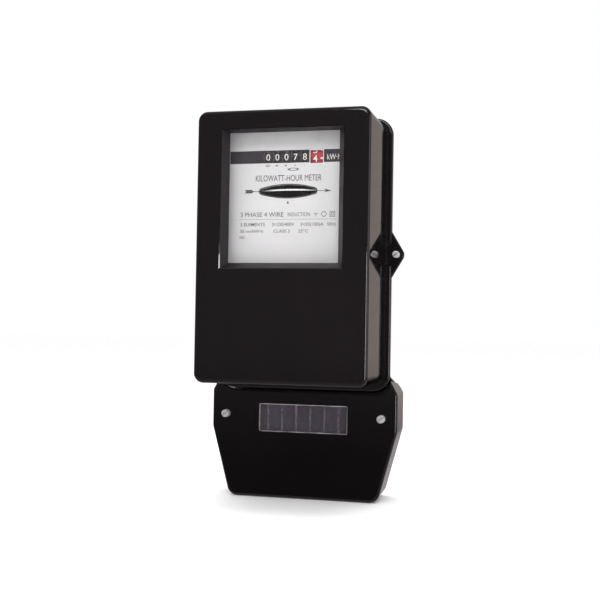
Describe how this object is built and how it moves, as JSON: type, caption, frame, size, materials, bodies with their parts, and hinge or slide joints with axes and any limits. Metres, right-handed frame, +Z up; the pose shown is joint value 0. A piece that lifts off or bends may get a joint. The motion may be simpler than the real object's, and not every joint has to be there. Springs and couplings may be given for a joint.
{
  "type": "three-phase induction electricity meter",
  "caption": "Wall-mounted electricity meter with a number-drum register and turning disc behind a window, over a tapered terminal cover.",
  "frame": {"origin": "on the wall plane, on the centreline, level with the lower edge of the main cover", "axes": "+X to the right seen from the front, +Y into the wall, +Z up"},
  "size_m": [0.164, 0.124, 0.3103],
  "materials": {
    "bakelite": "glossy black phenolic moulding",
    "window_glass": "clear flat glass",
    "smoked_plastic": "smoke-grey translucent plastic",
    "gasket": "matt",
    "brass": "turned",
    "zinc_steel": "zinc plated",
    "nickel_steel": "nickel plated",
    "bright_steel": "ground",
    "cast_alloy": "die cast",
    "aluminium_sheet": "satin",
    "dial_white": "satin white with black print",
    "drum_black": "matt black with white figures",
    "drum_red": "matt red with white figures",
    "nylon": "natural",
    "laminations": "varnished steel laminations",
    "coil_wrap": "varnished tape",
    "copper": "enamelled copper",
    "magnet": "painted alloy"
  },
  "bodies": {
    "base": {"base_tray": "bakelite", "base_gasket": "gasket", "sealing_inserts": "brass", "hanger_plate": "zinc_steel", "hanger_rivets": "zinc_steel", "terminal_block": "bakelite", "terminal_sleeves": "brass", "terminal_clamp_screws": "zinc_steel", "mechanism_frame": "cast_alloy", "frame_screws": "zinc_steel", "lower_bearing": "brass", "upper_bearing": "brass", "voltage_core_left": "laminations", "voltage_coil_left": "coil_wrap", "current_core_left": "laminations", "current_coils_left": "copper", "voltage_core_right": "laminations", "voltage_coil_right": "coil_wrap", "current_core_right": "laminations", "current_coils_right": "copper", "voltage_core_rear": "laminations", "voltage_coil_rear": "coil_wrap", "current_core_rear": "laminations", "current_coils_rear": "copper", "element_screws": "zinc_steel", "brake_magnet_left": "magnet", "brake_magnet_right": "magnet", "side_screws": "zinc_steel", "register_frame": "aluminium_sheet", "drum_axle": "bright_steel", "transfer_axle": "bright_steel", "dial_plate": "dial_white", "dial_screws": "zinc_steel"},
    "rotor": {"rotor_shaft": "bright_steel", "worm": "brass", "upper_disc": "aluminium_sheet", "lower_disc": "aluminium_sheet"},
    "worm_wheel_arbor": {"wheel_arbor": "bright_steel", "worm_wheel": "brass", "arbor_gear": "brass"},
    "drum_tenths": {"drum_tenths": "drum_red"},
    "drum_units": {"drum_units": "drum_black"},
    "drum_tens": {"drum_tens": "drum_black"},
    "drum_hundreds": {"drum_hundreds": "drum_black"},
    "drum_thousands": {"drum_thousands": "drum_black"},
    "drum_ten_thousands": {"drum_ten_thousands": "drum_black"},
    "transfer_pinion_units": {"transfer_pinion_units": "nylon"},
    "transfer_pinion_tens": {"transfer_pinion_tens": "nylon"},
    "transfer_pinion_hundreds": {"transfer_pinion_hundreds": "nylon"},
    "transfer_pinion_thousands": {"transfer_pinion_thousands": "nylon"},
    "transfer_pinion_ten_thousands": {"transfer_pinion_ten_thousands": "nylon"},
    "main_cover": {"main_cover": "bakelite", "window_glass": "window_glass"},
    "terminal_cover": {"terminal_cover": "bakelite", "terminal_window": "smoked_plastic"},
    "cover_seal_screw_left": {"cover_seal_screw_left": "nickel_steel"},
    "cover_seal_screw_right": {"cover_seal_screw_right": "nickel_steel"},
    "terminal_seal_screw_left": {"terminal_seal_screw_left": "nickel_steel"},
    "terminal_seal_screw_right": {"terminal_seal_screw_right": "nickel_steel"}
  },
  "joints": [
    {"name": "rotor_spin", "type": "hinge", "parent": "base", "child": "rotor", "pos_m": [0, -0.05765, 0.07], "axis": [0, 0, 1], "continuous": true},
    {"name": "worm_wheel_spin", "type": "hinge", "parent": "base", "child": "worm_wheel_arbor", "pos_m": [0, -0.07025, 0.1748], "axis": [1, 0, 0], "continuous": true},
    {"name": "drum_tenths_spin", "type": "hinge", "parent": "base", "child": "drum_tenths", "pos_m": [0, -0.0923, 0.1748], "axis": [1, 0, 0], "continuous": true},
    {"name": "drum_units_spin", "type": "hinge", "parent": "base", "child": "drum_units", "pos_m": [0, -0.0923, 0.1748], "axis": [1, 0, 0], "continuous": true},
    {"name": "drum_tens_spin", "type": "hinge", "parent": "base", "child": "drum_tens", "pos_m": [0, -0.0923, 0.1748], "axis": [1, 0, 0], "continuous": true},
    {"name": "drum_hundreds_spin", "type": "hinge", "parent": "base", "child": "drum_hundreds", "pos_m": [0, -0.0923, 0.1748], "axis": [1, 0, 0], "continuous": true},
    {"name": "drum_thousands_spin", "type": "hinge", "parent": "base", "child": "drum_thousands", "pos_m": [0, -0.0923, 0.1748], "axis": [1, 0, 0], "continuous": true},
    {"name": "drum_ten_thousands_spin", "type": "hinge", "parent": "base", "child": "drum_ten_thousands", "pos_m": [0, -0.0923, 0.1748], "axis": [1, 0, 0], "continuous": true},
    {"name": "transfer_pinion_units_spin", "type": "hinge", "parent": "base", "child": "transfer_pinion_units", "pos_m": [0, -0.08339, 0.16589], "axis": [1, 0, 0], "continuous": true},
    {"name": "transfer_pinion_tens_spin", "type": "hinge", "parent": "base", "child": "transfer_pinion_tens", "pos_m": [0, -0.08339, 0.16589], "axis": [1, 0, 0], "continuous": true},
    {"name": "transfer_pinion_hundreds_spin", "type": "hinge", "parent": "base", "child": "transfer_pinion_hundreds", "pos_m": [0, -0.08339, 0.16589], "axis": [1, 0, 0], "continuous": true},
    {"name": "transfer_pinion_thousands_spin", "type": "hinge", "parent": "base", "child": "transfer_pinion_thousands", "pos_m": [0, -0.08339, 0.16589], "axis": [1, 0, 0], "continuous": true},
    {"name": "transfer_pinion_ten_thousands_spin", "type": "hinge", "parent": "base", "child": "transfer_pinion_ten_thousands", "pos_m": [0, -0.08339, 0.16589], "axis": [1, 0, 0], "continuous": true},
    {"name": "main_cover_pull", "type": "slide", "parent": "base", "child": "main_cover", "axis": [0, -1, 0], "range_m": [0, 0.1]},
    {"name": "terminal_cover_pull", "type": "slide", "parent": "base", "child": "terminal_cover", "axis": [0, -1, 0], "range_m": [0, 0.06]},
    {"name": "cover_seal_screw_left_turn", "type": "hinge", "parent": "main_cover", "child": "cover_seal_screw_left", "pos_m": [-0.076, -0.051, 0.103], "axis": [0, -1, 0], "continuous": true},
    {"name": "cover_seal_screw_right_turn", "type": "hinge", "parent": "main_cover", "child": "cover_seal_screw_right", "pos_m": [0.076, -0.051, 0.103], "axis": [0, -1, 0], "continuous": true},
    {"name": "terminal_seal_screw_left_turn", "type": "hinge", "parent": "terminal_cover", "child": "terminal_seal_screw_left", "pos_m": [-0.0653, -0.0466, -0.029], "axis": [0, -1, 0], "continuous": true},
    {"name": "terminal_seal_screw_right_turn", "type": "hinge", "parent": "terminal_cover", "child": "terminal_seal_screw_right", "pos_m": [0.0653, -0.0466, -0.029], "axis": [0, -1, 0], "continuous": true}
  ],
  "couplings": [
    {"joint": "worm_wheel_spin", "follows": "rotor_spin", "ratio": -0.025},
    {"joint": "drum_tenths_spin", "follows": "rotor_spin", "ratio": 0.033333},
    {"joint": "drum_units_spin", "follows": "rotor_spin", "ratio": 0.0033333},
    {"joint": "drum_tens_spin", "follows": "rotor_spin", "ratio": 0.00033333},
    {"joint": "drum_hundreds_spin", "follows": "rotor_spin", "ratio": 0.000033333},
    {"joint": "drum_thousands_spin", "follows": "rotor_spin", "ratio": 0.0000033333},
    {"joint": "drum_ten_thousands_spin", "follows": "rotor_spin", "ratio": 0.00000033333},
    {"joint": "transfer_pinion_units_spin", "follows": "rotor_spin", "ratio": -0.0083333},
    {"joint": "transfer_pinion_tens_spin", "follows": "rotor_spin", "ratio": -0.00083333},
    {"joint": "transfer_pinion_hundreds_spin", "follows": "rotor_spin", "ratio": -0.000083333},
    {"joint": "transfer_pinion_thousands_spin", "follows": "rotor_spin", "ratio": -0.0000083333},
    {"joint": "transfer_pinion_ten_thousands_spin", "follows": "rotor_spin", "ratio": -0.00000083333}
  ]
}
